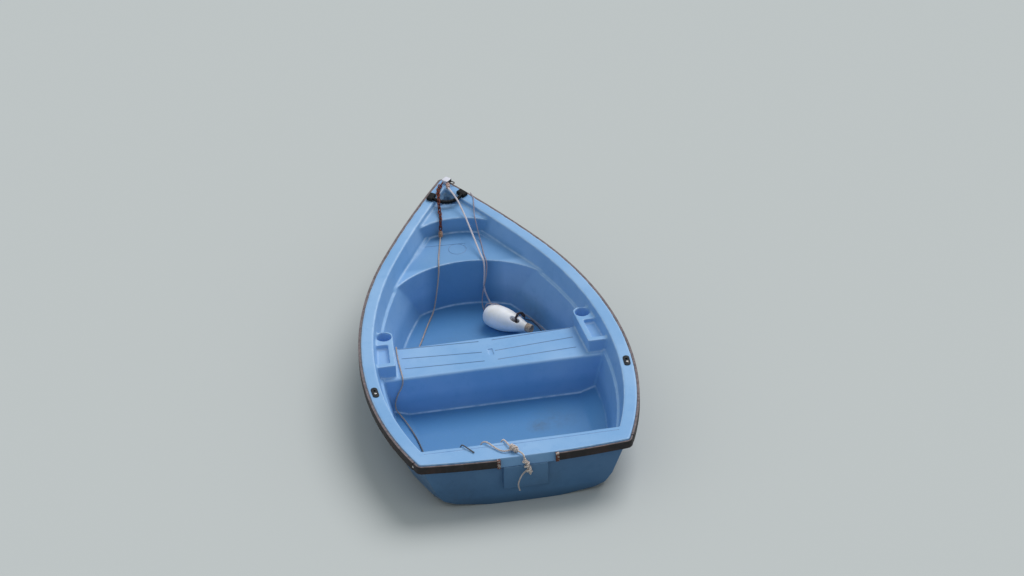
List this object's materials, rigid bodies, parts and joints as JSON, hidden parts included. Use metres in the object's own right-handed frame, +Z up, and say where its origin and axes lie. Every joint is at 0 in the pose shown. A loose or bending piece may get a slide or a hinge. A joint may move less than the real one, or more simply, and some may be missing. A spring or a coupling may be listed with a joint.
{
  "type": "rowing boat",
  "caption": "Moulded sky-blue rowing dinghy afloat, pointed bow, cambered transom, box thwart, side consoles with cup holes, dark rubber gunwale rail.",
  "frame": {"origin": "on the centreline amidships at the waterline", "axes": "+X to the bow, +Y to port, +Z up; z 0 is the water surface"},
  "size_m": [2.5389, 1.428, 0.5006],
  "materials": {
    "hull": "rotomoulded polyethylene, sky blue, weathered satin",
    "rail_rubber": "extruded rubber rail, dull and stained",
    "bush_plastic": "moulded plastic, pale blue",
    "rusted_steel": "galvanised steel rusted dark red",
    "handle_rubber": "moulded black rubber",
    "padlock_cover": "white plastic cover, scuffed",
    "shackle_steel": "hardened steel, plated",
    "float_plastic": "blown polyethylene, white, weathered",
    "cap_plastic": "moulded plastic, beige",
    "pale_rope": "three-strand polypropylene rope, sun-bleached",
    "pink_line": "thin laid line, faded pinkish grey"
  },
  "bodies": {
    "root": {"hull_shell": "hull", "gunwale_port": "hull", "gunwale_starboard": "hull", "transom_cap": "hull", "bow_seat": "hull", "foredeck": "hull", "floor_pan": "hull", "transom_wall": "hull", "side_wall_port": "hull", "side_wall_starboard": "hull", "thwart": "hull", "console_port": "hull", "console_starboard": "hull", "rub_rail_port": "rail_rubber", "rub_rail_starboard": "rail_rubber", "stern_rail_port": "rail_rubber", "stern_rail_starboard": "rail_rubber", "motor_pad": "hull", "rowlock_bush_port": "bush_plastic", "rowlock_bush_starboard": "bush_plastic", "hull_runners": "hull", "rail_end_clamp_port": "rusted_steel", "rail_end_clamp_starboard": "rusted_steel", "handle_block_port": "handle_rubber", "handle_block_starboard": "handle_rubber", "handle_grip": "handle_rubber", "padlock_case": "padlock_cover", "padlock_shackle": "shackle_steel", "mooring_chain": "rusted_steel", "float_body": "float_plastic", "float_cap": "cap_plastic", "chain_knot": "pale_rope", "bow_knot": "pale_rope", "float_knot": "pale_rope", "stern_knot": "pale_rope", "stern_hanging_knot": "pale_rope", "rope_from_chain": "pale_rope", "rope_to_float": "pale_rope", "float_line": "pink_line", "float_lanyard": "pink_line", "stern_rope_loop": "pale_rope", "stern_rope_link": "pale_rope", "stern_rope_end": "pale_rope"}
  },
  "joints": []
}
